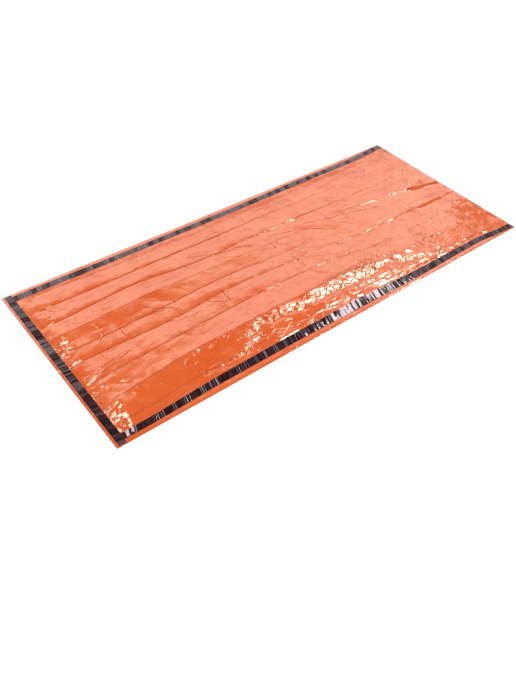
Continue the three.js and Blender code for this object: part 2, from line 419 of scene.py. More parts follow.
def lopsided(share):
    """A bow that rises gently from 0 at the far line to 1 and falls steeply to the near line."""
    return BOW_SCALE * share ** 2 * (1 - share)


def fold_profile(y, across, strength, nearest, half_width):
    """The strength of each pleat line on the line itself and 0 beyond half_width. nearest has each row's
    two lines."""
    return sum(
        strength[line] * np.clip(1 - np.abs(y - across[line]) / half_width, 0, 1) for line in nearest
    )


def clear_of_tape(x, y, across):
    """0 on the tapes and 1 a little way inside them."""
    far, near = across[LINE_NUMBER["far_tape_inner"]], across[LINE_NUMBER["near_tape_inner"]]
    sides = smooth_step(0, SIDE_FADE, far - y) * smooth_step(0, SIDE_FADE, y - near)
    return sides * smooth_step(0, FOOT_FADE, x - FOOT_TAPE[1])


# %% Work out the film's surface
SWELL = dict(height=1.1, along=540.0, across=330.0)
FADE_IN = 5.0
MOUTH_EDGE = [
    # (across, along)
    (-455, 1063), (-415, 1061), (-350, 1052), (0, 1048), (250, 1049), (345, 1050), (378, 1048), (412, 1061),
    (455, 1063),
]
MOUTH_DRAW_FROM = 980.0
MOUTH_CURL = 0.7
CURL_WAVES = [
    # (share of the height, length over 2 pi, shift)
    (1.0, 31.0, 0.0),
    (0.4, 12.5, 1.0),
]


def film_surface(along, rows, crushed=True):
    """x, y and z of the film's top in millimetres, one row of the result for each row of the grid."""
    across, rise, groove = (of_all_lines(key, along) for key in ("across", "rise", "groove"))
    bow = np.array([line["bow"] for line in LINES], float)
    number = np.array([row[0] for row in rows])
    share = np.array([row[1] for row in rows])[:, None]
    following = np.minimum(number + 1, len(LINES) - 1)
    y = across[number] * (1 - share) + across[following] * share
    x = np.broadcast_to(along, y.shape).astype(float)
    pleated = rise[number] * (1 - share) + rise[following] * share + bow[number][:, None] * lopsided(share)
    grooves = FOLD_DEPTH * fold_profile(y, across, groove, (number, following), FOLD_HALF_WIDTH)
    wave_along = np.sin(2 * np.pi * x / SWELL["along"])
    swell = SWELL["height"] * wave_along * np.cos(2 * np.pi * y / SWELL["across"])
    loose = np.clip(pleated / FADE_IN, 0, 1)
    uneven = swell - grooves - crease_depth(x, y, CREASES) + ridge_height(x, y, across, RIDGES)
    height = pleated + loose * uneven
    height = height * np.sin(np.pi / 2 * np.clip((x - FOOT_TAPE[1]) / FOOT_RAMP, 0, 1))
    if crushed:
        height = height + crush_height(x, y) * clear_of_tape(x, y, across)
    height = np.maximum(height, 0)
    draw = np.clip((x - MOUTH_DRAW_FROM) / (STATIONS[-1] - MOUTH_DRAW_FROM), 0, 1) ** 2
    waves = sum(part * np.sin(y / length + shift) for part, length, shift in CURL_WAVES)
    curl = MOUTH_CURL * waves * draw * loose
    edge = smooth_through(*zip(*MOUTH_EDGE), y)
    return np.stack([x + draw * (edge - STATIONS[-1]), y, SEAM_TOP + np.maximum(height + curl, 0)], axis=-1)


# %% [markdown]
# ## From a grid to a closed sheet
# A sheet with no thickness has no edge to catch the light and no inside. So each sheet is closed: its top,
# an underside a third of a millimetre lower, and a rim between them. The upper film's underside is hardly
# seen, so it keeps only every second row and column, which leaves more faces for the top. It stays under
# the lowest of its neighbours, so that it never comes through a crease. The faces have a material index
# each, because the film is silver inside.

# %% Build closed sheets
SILVER = 1
SHARP_DEGREES = 8


def lowest_nearby(heights, reach):
    """The lowest height within a few rows and columns of each place."""
    padded = np.pad(heights, reach, mode="edge")
    windows = np.lib.stride_tricks.sliding_window_view(padded, (2 * reach + 1, 2 * reach + 1))
    return windows.min(axis=(2, 3))


def sheet_faces(rows, columns, top_finish, under_finish, step):
    """The faces of a closed sheet and the finish of each. The underside keeps every step-th row and
    column."""
    at = np.arange(rows * columns).reshape(rows, columns)
    below = at + rows * columns
    faces = np.stack([at[:-1, :-1], at[1:, :-1], at[1:, 1:], at[:-1, 1:]], axis=-1).reshape(-1, 4).tolist()
    finishes = np.broadcast_to(top_finish, (rows - 1, columns - 1)).reshape(-1).tolist()
    ring = np.concatenate([at[:-1, 0], at[-1, :-1], at[:0:-1, -1], at[0, :0:-1]])
    after = np.roll(ring, -1)
    faces += np.stack([ring, ring + rows * columns, after + rows * columns, after], axis=-1).tolist()
    finishes += [0] * len(ring)
    for i in range(0, rows - 1, step):
        for j in range(0, columns - 1, step):
            edges = (
                [below[i, j]] if i else below[i, j:j + step],
                [below[i, j + step]] if j + step < columns - 1 else below[i:i + step, j + step],
                [below[i + step, j + step]] if i + step < rows - 1 else below[i + step, j + step:j:-1],
                [below[i + step, j]] if j else below[i + step:i:-1, j],
            )
            faces.append([int(corner) for edge in edges for corner in edge])
            finishes.append(under_finish)
    return faces, finishes


def closed_sheet(name, top, thickness, top_finish=0, under_finish=0, step=1, marks=None):
    """An object from a grid of places in millimetres. marks has attributes for the materials to read."""
    rows, columns = top.shape[:2]
    under = top - (0, 0, thickness)
    if step > 1:
        under[1:-1, 1:-1, 2] = lowest_nearby(under[..., 2], step)[1:-1, 1:-1]
    places = np.concatenate([top.reshape(-1, 3), under.reshape(-1, 3)]) * MM
    faces, finishes = sheet_faces(rows, columns, top_finish, under_finish, step)
    mesh = bpy.data.meshes.new(name)
    mesh.from_pydata(places.tolist(), [], faces)
    mesh.polygons.foreach_set("material_index", finishes)
    for mark, values in (marks or {}).items():
        attribute = mesh.attributes.new(mark, "FLOAT", "POINT")
        attribute.data.foreach_set("value", np.tile(values.reshape(-1), 2))
    bare = bmesh.new()
    bare.from_mesh(mesh)
    bmesh.ops.delete(bare, geom=[vert for vert in bare.verts if not vert.link_faces], context="VERTS")
    bare.to_mesh(mesh)
    bare.free()
    mesh.shade_smooth()
    mesh.set_sharp_from_angle(angle=math.radians(SHARP_DEGREES))
    piece = bpy.data.objects.new(name, mesh)
    scene.collection.objects.link(piece)
    triangles = sum(len(face) - 2 for face in faces)
    print(name, triangles, "triangles, highest", round(float(top[..., 2].max()), 1), "mm")
    return piece


# %% [markdown]
# ## The upper film
# Its rows crowd together at every fold, where the surface turns, and spread out between them. Two rows hug
# each fold on either side, because a fold that falls between two rows would come out blunt.

# %% Lay out the upper film's grid
FILM_COLUMNS = 456
FIRST_COLUMN_STEP = 4
FEWEST_WITH_FOLDS = 8
FOLD_ROWS = [1.0, 2.4]  # in half widths of a fold, on either side of it


def rows_between(line, count):
    """Rows from one line towards the next, evenly spaced but for two that hug the fold on either side."""
    if count < FEWEST_WITH_FOLDS:
        return [(line, k / count) for k in range(count)]
    width = np.mean(np.subtract(LINES[line]["across"], LINES[line + 1]["across"]))
    close = [FOLD_HALF_WIDTH * rows / width for rows in FOLD_ROWS]
    inner = np.linspace(close[-1], 1 - close[-1], count - 2 * len(close) + 1)
    return [(line, share) for share in [0.0, *close[:-1], *inner, *(1 - side for side in close[-2::-1])]]


film_rows = [row for number, line in enumerate(LINES[:-1]) for row in rows_between(number, line["rows"])]
film_rows.append((len(LINES) - 1, 0.0))
loose_columns = np.linspace(FOOT_TAPE[1] + FIRST_COLUMN_STEP, STATIONS[-1], FILM_COLUMNS)
film_columns = np.array([FOOT_EDGE, *FOOT_TAPE, *loose_columns])
print(len(film_rows), "rows and", len(film_columns), "columns")

# %% [markdown]
# The finish below changes where the film is crushed, rippled or folded, and paints shade along the folds.
# The mesh marks these places with attributes, because the shape's own tables say best where they are.

# %% Mark the film for its finish
FOLD_SHADE_HALF_WIDTH = 4.5
FOLD_SHADE_FROM = -960
RIDGE_HIDES = 0.8
RIPPLES_BELOW_RIDGE = (4, 20, 70)
RIPPLES_END = (-450, -380)


def film_marks(x, y, rows):
    """Where the film is crushed, rippled or folded, for its finish, which paints shade along the folds."""
    across, groove = of_all_lines("across", x[0]), of_all_lines("groove", x[0])
    crushed = np.max([inside_patch(x, y, patch) for patch in PATCHES if patch.size < DENTED_SIZE], axis=0)
    low_ridges = [ridge for ridge in RIDGES if ridge.height < STANDING_HEIGHT]
    crushed = np.maximum(crushed, np.clip(ridge_height(x, y, across, low_ridges), 0, 1))
    below_ridge = across[LINE_NUMBER["near_ridge"]] - y
    starts, fades, ends = RIPPLES_BELOW_RIDGE
    rippled = smooth_step(0, starts, below_ridge) * (1 - smooth_step(fades, ends, below_ridge))
    rippled = rippled * (1 - smooth_step(*RIPPLES_END, x))
    number = np.array([row[0] for row in rows])
    nearest = (number, np.minimum(number + 1, len(LINES) - 1))
    # folded is where the finish paints shade along the folds.
    folded = fold_profile(y, across, groove, nearest, FOLD_SHADE_HALF_WIDTH)
    on_ridge = np.clip(ridge_height(x, y, across, RIDGES), 0, 1)
    folded = folded * (1 - RIDGE_HIDES * on_ridge) * smooth_step(FOOT_TAPE[1], FOLD_SHADE_FROM, x)
    return dict(crushed=crushed, rippled=rippled, folded=folded)


# %% Make the upper film
UNDERSIDE_STEP = 2


def droop(top):
    """Lowers the bare margins outside the tapes towards the ground."""
    for edge, inner in ((0, LINES[0]["rows"]), (-1, -1 - LINES[-2]["rows"])):
        share = (top[..., 1] - top[inner, :, 1]) / (top[edge, :, 1] - top[inner, :, 1])
        top[..., 2] -= MARGIN_DROOP * np.clip(share, 0, 1)
    return top


film_top = droop(film_surface(film_columns, film_rows))
upper_film = closed_sheet(
    "upper_film", film_top, FILM_THICKNESS, under_finish=SILVER, step=UNDERSIDE_STEP,
    marks=film_marks(film_top[..., 0], film_top[..., 1], film_rows),
)

# %% [markdown]
# ## The lower film
# It lies flat on the ground. Only its edge shows, as a thin line outside the upper film and at the mouth.
# Its top is silver but for a narrow border, where it is seen past the upper film.

# %% Make the lower film
LOWER_COLUMNS = 120
LOWER_ROWS = 40
BORDER_SHARE = 0.003


def lower_film_grid():
    """The lower film's top, a little wider than the upper film."""
    along = np.linspace(-HALF_LENGTH, HALF_LENGTH, LOWER_COLUMNS)
    far = smooth_through(STATIONS, LINES[0]["across"], along) + LOWER_OVERHANG
    near = smooth_through(STATIONS, LINES[-1]["across"], along) - LOWER_OVERHANG
    share = np.array([0.0, *np.linspace(BORDER_SHARE, 1 - BORDER_SHARE, LOWER_ROWS), 1.0])[:, None]
    y = far * (1 - share) + near * share
    return np.stack([np.broadcast_to(along, y.shape), y, np.full(y.shape, FILM_THICKNESS)], axis=-1)


silver_inside = np.zeros((LOWER_ROWS + 1, LOWER_COLUMNS - 1), int)
silver_inside[1:-1, 1:] = SILVER
lower_film = closed_sheet("lower_film", lower_film_grid(), FILM_THICKNESS, top_finish=silver_inside)

# %% [markdown]
# ## The tapes
# Thin tape wrinkles across its length when the film under it moves. It turns into a row of short flat
# lengths, each tilted its own way, with a crease between, and every one mirrors something else. The lengths
# are one or two centimetres on most of the tape. On the middle of the near tape, where it is crushed, they
# are shorter and stand higher.

# %% Wrinkle a tape
TAPE_STEP = 2.0
TAPE_ROWS = 7
CREASE_SLANT = (-14.0, 0.0)
PITCH_SPREAD = (0.3, 1.7)


def zigzag(along, shares, seed, wrinkles):
    """Heights along a tape, one row for each share of its width. wrinkles has rows of place, pitch and
    height."""
    random = np.random.default_rng(seed)
    place, pitch, height = zip(*wrinkles)
    creases, heights, slants = [along[0]], [0.0], [0.0]
    while creases[-1] < along[-1]:
        creases.append(creases[-1] + np.interp(creases[-1], place, pitch) * random.uniform(*PITCH_SPREAD))
        heights.append(np.interp(creases[-1], place, height) * random.uniform(0, 1))
        slants.append(random.uniform(*CREASE_SLANT))
    creases, slants = np.array(creases), np.array(slants)
    slanted_creases = [np.sort(creases + slants * (share - 0.5)) for share in shares]
    return np.array([np.interp(along, places, heights) for places in slanted_creases])


def tape_over(name, base, wrinkle):
    """A tape from the film's places under it, lifted clear of the film and wrinkled."""
    top = base.copy()
    top[..., 2] += TAPE_LIFT + TAPE_THICKNESS + wrinkle
    return closed_sheet(name, top, TAPE_THICKNESS)


# %% Make the two side tapes
FAR_WRINKLES = [
    # (place along, pitch, height)
    (-1025, 26, 0.6), (-400, 20, 0.8), (0, 18, 0.9), (500, 16, 0.8), (1063, 24, 0.6),
]
NEAR_WRINKLES = [
    # (place along, pitch, height)
    (-1025, 26, 0.5), (-400, 22, 0.6), (-230, 16, 0.6), (-200, 11, 2.2), (-60, 11, 2.0), (-40, 14, 0.9),
    (50, 14, 0.9), (60, 11, 2.4), (150, 10, 2.6), (320, 11, 2.4), (360, 12, 1.2), (620, 12, 0.8),
    (1063, 30, 0.4),
]


def side_tape(name, first_line, seed, wrinkles):
    """A tape from the foot to the mouth, over the film between two lines."""
    along = np.arange(SIDE_TAPE_ENDS[0], SIDE_TAPE_ENDS[1] + TAPE_STEP / 2, TAPE_STEP)
    shares = np.linspace(0, 1, TAPE_ROWS)
    line = LINE_NUMBER[first_line]
    rows = [(line, share) for share in shares[:-1]] + [(line + 1, 0.0)]
    base = film_surface(along, rows, crushed=False)
    return tape_over(name, base, zigzag(along, shares, seed, wrinkles))


far_tape = side_tape("far_tape", "far_tape_outer", seed=21, wrinkles=FAR_WRINKLES)
near_tape = side_tape("near_tape", "near_tape_inner", seed=22, wrinkles=NEAR_WRINKLES)

# %% Make the foot tape
FOOT_WRINKLES = [
    # (place across from the far side, pitch, height)
    (-460, 24, 0.4), (-250, 22, 0.6), (-130, 20, 0.6), (60, 12, 0.9), (110, 12, 0.9), (160, 12, 0.9),
    (200, 20, 0.6), (250, 12, 0.9), (330, 22, 0.6), (460, 20, 0.6),
]
FOOT_TAPE_INSET = 1.0


def foot_tape_grid():
    """The film's top under the foot tape, from the far edge to the near edge."""
    far = LINES[0]["across"][0] - FOOT_TAPE_INSET
    near = LINES[-1]["across"][0] + FOOT_TAPE_INSET
    across = np.arange(far, near - TAPE_STEP / 2, -TAPE_STEP)
    y, x = np.meshgrid(across, np.linspace(*FOOT_TAPE, TAPE_ROWS), indexing="ij")
    return np.stack([x, y, np.full(x.shape, SEAM_TOP)], axis=-1)


foot_base = foot_tape_grid()
foot_shares = np.linspace(0, 1, TAPE_ROWS)
foot_wrinkle = zigzag(-foot_base[:, 0, 1], foot_shares, seed=23, wrinkles=FOOT_WRINKLES).T
foot_tape = tape_over("foot_tape_strip", foot_base, foot_wrinkle)

# %% [markdown]
# ## Shader maths
# A wire is one output of a shader node. The class lets wires be added, subtracted and multiplied like
# numbers, and makes any other node from its type, its settings and what goes into its sockets.

# %% Wrap a shader socket
class Wire:
    """One output of a shader node, or the empty tree that the first node goes into."""

    def __init__(self, tree, socket=None):
        self.tree, self.socket = tree, socket

    def node(self, kind, settings=None, inputs=None, output=0):
        """Adds a node of a type. Its settings come first, then the values or wires of its sockets."""
        new = self.tree.nodes.new(kind)
        for key, value in (settings or {}).items():
            setattr(new, key, value)
        for key, value in (inputs or {}).items():
            if isinstance(value, Wire):
                self.tree.links.new(value.socket, new.inputs[key])
            else:
                new.inputs[key].default_value = value
        return Wire(self.tree, new.outputs[output] if len(new.outputs) else None)

    def math(self, operation, *values):
        """Adds a Math node."""
        return self.node("ShaderNodeMath", {"operation": operation}, dict(enumerate(values)))

    def vector_math(self, operation, *values, output=0):
        """Adds a Vector Math node."""
        return self.node("ShaderNodeVectorMath", {"operation": operation}, dict(enumerate(values)), output)

    def __add__(self, other):
        return self.math("ADD", self, other)

    def __sub__(self, other):
        return self.math("SUBTRACT", self, other)

    def __rsub__(self, other):
        return self.math("SUBTRACT", other, self)

    def __mul__(self, other):
        return self.math("MULTIPLY", self, other)

    def clamp(self):
        """The wire kept from 0 to 1."""
        return self.node("ShaderNodeClamp", None, {"Value": self})

    def between(self, low, high):
        """0 where the wire is at low or below, 1 at high or above, and smooth between."""
        return self.node("ShaderNodeMapRange", {"interpolation_type": "SMOOTHSTEP"},
                         {"Value": self, "From Min": low, "From Max": high})

    def blend(self, first, second):
        """The first colour where the wire is 0 and the second where it is 1."""
        return self.node("ShaderNodeMix", {"data_type": "RGBA"}, {0: self, 6: first, 7: second}, output=2)

    __radd__, __rmul__ = __add__, __mul__


# %% Start and finish a material
def new_material(name):
    """An empty material, and a wire with each place on the piece in metres."""
    material = bpy.data.materials.new(name)
    material.use_nodes = True
    material.node_tree.nodes.clear()
    return material, Wire(material.node_tree).node("ShaderNodeTexCoord", output="Object")


def finish_material(place, height=None, matt=None, **sockets):
    """Adds the surface, with its bump where it has a height in metres. matt is where it turns matt, and
    what colour it has there."""
    sockets = {name.replace("_", " "): value for name, value in sockets.items()}
    if height is not None:
        bump = {"Height": height, "Distance": 1.0, "Strength": 1.0}
        sockets["Normal"] = place.node("ShaderNodeBump", None, bump)
    surface = place.node("ShaderNodeBsdfPrincipled", None, sockets)
    if matt:
        where, colour = matt
        bare = place.node("ShaderNodeBsdfDiffuse", None, {"Color": colour})
        surface = place.node("ShaderNodeMixShader", None, {0: where, 1: surface, 2: bare})
    place.node("ShaderNodeOutputMaterial", None, {"Surface": surface})


# %% Name the textures
def stretched(place, scale):
    """The place with each axis scaled on its own, for textures that are longer one way."""
    return place.vector_math("MULTIPLY", place, scale)


def drawn_out(place, degrees, longer):
    """The place squeezed along the bag, so that textures are longer that way, and then turned, so that no
    two patterns fall alike."""
    settings = {"Rotation": (0.0, 0.0, -math.radians(degrees)), "Scale": (1.0 / longer, 1.0, 1.0)}
    return place.node("ShaderNodeMapping", {"vector_type": "POINT"}, {"Vector": place, **settings})


def noise(place, scale, detail=2.0):
    """Cloudy noise from 0 to 1. A scale of 10 makes clouds of about a tenth of a metre."""
    clouds = {"Vector": place, "Scale": scale, "Detail": detail}
    return place.node("ShaderNodeTexNoise", None, clouds, output="Fac")


def crease_lines(place, scale, width):
    """1 on the edges of random cells and 0 a little way off them. The width is in metres."""
    cells = {"Vector": place, "Scale": scale}
    edge = place.node("ShaderNodeTexVoronoi", {"feature": "DISTANCE_TO_EDGE"}, cells)
    return 1 - edge.between(0.0, width * scale)


def tilted_cells(place, scale):
    """Random cells, each a flat facet with its own tilt of up to a half. The result is in metres."""
    cells = {"Vector": place, "Scale": scale}
    colour = place.node("ShaderNodeTexVoronoi", {}, cells, output="Color")
    middle = place.node("ShaderNodeTexVoronoi", {}, cells, output="Position")
    tilt = place.vector_math("SUBTRACT", colour, (0.5, 0.5, 0.5))
    offset = place.vector_math("SUBTRACT", place, middle)
    return place.vector_math("DOT_PRODUCT", tilt, offset, output="Value")


# %% [markdown]
# ## The film's longer creases
# Some fine creases run aslant across the pleats for three to eighteen centimetres. A texture can't be told
# where to draw them, so each one is a straight line that is listed one by one, and the distance to it
# decides where it shows. A little noise in the place bends them, because no crease in film is straight for
# long.

# %% List and draw the fine creases
HAIRLINES = [
    # (from along, from across, to along, to across) in millimetres
    (-1005, 335, -930, 255),
    (-610, 95, -515, 32),
    (-640, 62, -530, -15),
    (-700, 35, -560, 8),
    (-325, 232, -225, 188),
    (-210, 178, -60, 155),
    (60, 150, 185, 112),
    (185, 112, 250, 80),
    (250, 80, 345, 8),
    (260, 122, 400, 88),
    (400, 88, 520, 58),
    (520, 58, 640, 22),
    (460, 100, 560, 83),
    (-410, -55, -345, -100),
    (-970, -150, -800, -100),
    (-950, -125, -860, -98),
    (-778, 28, -776, -20),
    (-870, -5, -835, 40),
    (-334, -30, -336, -105),
    (30, 105, 34, 60),
    (55, -60, 60, -105),
    (-890, -62, -865, -45),
    (600, -222, 640, -250),
    (635, -105, 665, -132),
]
HAIRLINE_WIDTH = 0.003
HAIRLINE_WOBBLE = 0.024
WOBBLES_PER_METRE = 22.0


def wavy(place, flat_place):
    """The flat place, pushed about a little by noise."""
    push = place.node("ShaderNodeTexNoise", None, {"Vector": place, "Scale": WOBBLES_PER_METRE}, "Color")
    push = place.vector_math("SUBTRACT", push, (0.5, 0.5, 0.5))
    push = stretched(push, (HAIRLINE_WOBBLE, HAIRLINE_WOBBLE, 0.0))
    return place.vector_math("ADD", flat_place, push)


def hairline(place, start_x, start_y, end_x, end_y):
    """1 on a straight line between two places in millimetres and 0 a little way off it."""
    start, run = Vector((start_x, start_y, 0)) * MM, Vector((end_x - start_x, end_y - start_y, 0)) * MM
    off = place.vector_math("SUBTRACT", place, start)
    share = place.vector_math("DOT_PRODUCT", off, run / run.dot(run), output="Value")
    share = place.node("ShaderNodeClamp", None, {"Value": share})
    foot = place.node("ShaderNodeVectorMath", {"operation": "SCALE"}, {0: run, "Scale": share})
    distance = place.vector_math("DISTANCE", off, foot, output="Value")
    return 1 - distance.between(0.0, HAIRLINE_WIDTH)


def hairlines(place):
    """1 on any of the fine creases."""
    each = [hairline(place, *ends) for ends in HAIRLINES]
    return functools.reduce(lambda all_lines, line: all_lines.math("MAXIMUM", all_lines, line), each)


print(len(HAIRLINES), "fine creases")

# %% [markdown]
# ## The film's finish
# The film is clear orange plastic over a thin layer of metal. Its colour is deep where it reflects nothing
# and pale where it mirrors a lamp, so the base colour is the deep one and the gloss makes the rest. The
# finest crackle, too small for the mesh, is bump: flat facets a few centimetres across, small crumbs where
# the film is crushed, and broken nets of thin creases. The creases and the folds also get painted shade. A
# Mix Shader puts a matt brown there in place of the gloss, standing in for the shade that falls in them,
# which a darker base colour couldn't do, as the gloss lies over the base.

# %% Name the film's colours and creases
DEEP_ORANGE = (0.69, 0.100, 0.018, 1.0)
WARM_ORANGE = (0.72, 0.135, 0.034, 1.0)
# The crease brown is painted shade: the matt colour put in the creases and folds where shade falls.
CREASE_SHADE_BROWN = (0.43, 0.066, 0.016, 1.0)
GLOSS_TINT = (1.0, 1.0, 0.80, 1.0)
FACETS_PER_METRE = 28.0
FACET_TILT = 0.05
CRUMB_TILT = 0.12
RIPPLES = (110.0, 14.0, 0.0)  # clouds of noise per metre, along, across and up
RIPPLE_HEIGHT = 0.0011
GRAIN_PER_METRE = 70.0
GRAIN_HEIGHT = 0.0006
FOLD_SHADE_CLOUDS = (30.0, 120.0, 0.0)  # the same for where the painted shade on the folds breaks off
FOLD_SHADE_SHOWS = (0.3, 0.5)
NETS = dict(
    # cells per metre, turn in degrees, how much longer the cells are along the bag, a crease's width
    long=(13.0, 25.0, 1.6, 0.0022),
    short=(33.0, -50.0, 1.8, 0.0018),
    crushed=(70.0, 50.0, 2.2, 0.002),
)
NET_SHOWS = dict(
    # clouds per metre, and the cloud's value where the net is gone and where it is whole
    long=(12.0, 0.5, 0.58),
    short=(9.0, 0.5, 0.6),
)
DEPTH = dict(long=0.0003, short=0.00025, crushed=0.0004, hand=0.0009)
# How much painted shade each kind of crease gets, as a share of the matt brown.
PAINTED_SHADE_SHARE = dict(long=0.25, short=0.3, crushed=0.6, hand=0.85)
MOST_PAINTED_SHADE = 0.95
COLOUR_CLOUDS = 5.0
COLOUR_SHIFTS = (0.3, 0.7)
ROUGHNESS_CLOUDS = 14.0
LEAST_ROUGHNESS = 0.04
ROUGHNESS_SPREAD = 0.04
FILM_SPECULAR = 0.56


def crease_net(place, kind):
    """1 on the creases of one of the nets."""
    per_metre, degrees, longer, width = NETS[kind]
    return crease_lines(drawn_out(place, degrees, longer), per_metre, width)


def broken_net(place, flat_place, kind):
    """One of the nets, which shows in some clouds of noise and not in others."""
    clouds, gone, whole = NET_SHOWS[kind]
    return crease_net(flat_place, kind) * noise(place, clouds).between(gone, whole)


def crumbs(place):
    """The heights of the crumbs between the creases of the crushed net."""
    per_metre, degrees, longer, _ = NETS["crushed"]
    return tilted_cells(drawn_out(place, degrees, longer), per_metre)


# %% Mix the orange film
film, place = new_material("orange_film")
crushed_here, rippled_here, folded_here = (
    place.node("ShaderNodeAttribute", {"attribute_name": mark}, output="Fac")
    for mark in ("crushed", "rippled", "folded")
)
flat_place = stretched(place, (1.0, 1.0, 0.0))
facet_height = tilted_cells(flat_place, FACETS_PER_METRE) * FACET_TILT
crumb_height = crumbs(flat_place) * (crushed_here * CRUMB_TILT)
ripple_height = noise(stretched(place, RIPPLES), 1.0) * (rippled_here * RIPPLE_HEIGHT)
grain_height = noise(place, GRAIN_PER_METRE, detail=3.0) * GRAIN_HEIGHT

long_creases = broken_net(place, flat_place, "long")
short_creases = broken_net(place, flat_place, "short")
crushed_creases = crease_net(flat_place, "crushed") * crushed_here
hand_creases = hairlines(wavy(place, flat_place))
# Painted shade along the folds, broken off in places by noise.
shaded_folds = folded_here * noise(stretched(place, FOLD_SHADE_CLOUDS), 1.0, detail=3.0).between(*FOLD_SHADE_SHOWS)

# %% Finish the orange film
# Painted shade: the creases and the fold lines turn matt brown, standing in for the shade that falls in
# them.
painted_crease_shade = (
    long_creases * PAINTED_SHADE_SHARE["long"] + short_creases * PAINTED_SHADE_SHARE["short"] + crushed_creases * PAINTED_SHADE_SHARE["crushed"]
    + hand_creases * PAINTED_SHADE_SHARE["hand"] + shaded_folds
)
finish_material(
    place, facet_height + crumb_height + ripple_height + grain_height
    - long_creases * DEPTH["long"] - short_creases * DEPTH["short"] - crushed_creases * DEPTH["crushed"]
    - hand_creases * DEPTH["hand"],
    matt=((painted_crease_shade * MOST_PAINTED_SHADE).clamp(), CREASE_SHADE_BROWN),
    Base_Color=noise(place, COLOUR_CLOUDS, detail=3.0).between(*COLOUR_SHIFTS).blend(
        DEEP_ORANGE, WARM_ORANGE
    ),
    Roughness=noise(place, ROUGHNESS_CLOUDS) * ROUGHNESS_SPREAD + LEAST_ROUGHNESS,
    Specular_IOR_Level=FILM_SPECULAR,
    Specular_Tint=GLOSS_TINT,
)
print("the film's finish has", len(film.node_tree.nodes), "nodes")

# %% [markdown]
# The inside of the film is bare metal, which shows only as a thin grey line at the mouth. Its colour is
# painted shade, much darker than bare metal, as it lies in the shade between the two films, and it is a
# little rough.

# %% Mix the silver inside
SHADED_SILVER_DARK = (0.05, 0.045, 0.045, 1.0)
SHADED_SILVER_LIGHT = (0.10, 0.09, 0.09, 1.0)
TARNISH_PER_METRE = 30.0
SILVER_GRAIN_PER_METRE = 60.0
SILVER_GRAIN_HEIGHT = 0.0004
SILVER_LEAST_ROUGHNESS = 0.3
SILVER_ROUGHNESS_SPREAD = 0.2

silver, place = new_material("silver_inside")
tarnish = noise(place, TARNISH_PER_METRE, detail=3.0)
finish_material(
    place, noise(place, SILVER_GRAIN_PER_METRE, detail=3.0) * SILVER_GRAIN_HEIGHT,
    Base_Color=tarnish.blend(SHADED_SILVER_DARK, SHADED_SILVER_LIGHT),
    Roughness=tarnish * SILVER_ROUGHNESS_SPREAD + SILVER_LEAST_ROUGHNESS,
    Metallic=1.0,
)

# %% [markdown]
# ## The tape's finish
# The tape is black and glossy, and dusted a little. Between the wrinkles in its mesh it breaks into lengths
# of a centimetre, each with its own tilt and shade, and pale lines of painted highlight show where some of
# them join. A 1-D Voronoi texture makes such lengths: it cuts a line into random cells and gives each a
# random colour, whose three channels are three random numbers. Some longer lengths have lost their gloss,
# and a Mix Shader turns them dull.

# %% Name the tape's colours and lengths
LENGTHS_PER_METRE = 100.0
TILT_OF_LENGTHS = 0.16
JOIN_WAVER = 0.012
WAVERS_PER_METRE = 25.0
JOIN_WIDTH = 0.0018
JOIN_HEIGHT = 0.0003
JOIN_FADE = 0.05
MOST_JOIN_HIGHLIGHT = 0.9
TAPE_GRAIN_PER_METRE = 90.0
TAPE_GRAIN_HEIGHT = 0.0001
WORN_PER_METRE = 36.0
WORN_FADE = 0.2
MOST_WORN = 0.7
DUST_PER_METRE = 40.0
DUST_SHARE = 0.3
TAPE_LEAST_ROUGHNESS = 0.02
TAPE_ROUGHNESS_SPREAD = 0.04
TAPE_SPECULAR = 0.31
TAPE_BLACK = (0.005, 0.003, 0.004, 1.0)
DUSTY_BLACK = (0.052, 0.023, 0.028, 1.0)
DULL_BLACK = (0.020, 0.012, 0.014, 1.0)
# The pale join colour is a painted highlight along the creases between lengths.
PAINTED_JOIN_HIGHLIGHT = (0.36, 0.30, 0.33, 1.0)
TAPE_GLOSS_TINT = (1.0, 0.80, 0.84, 1.0)


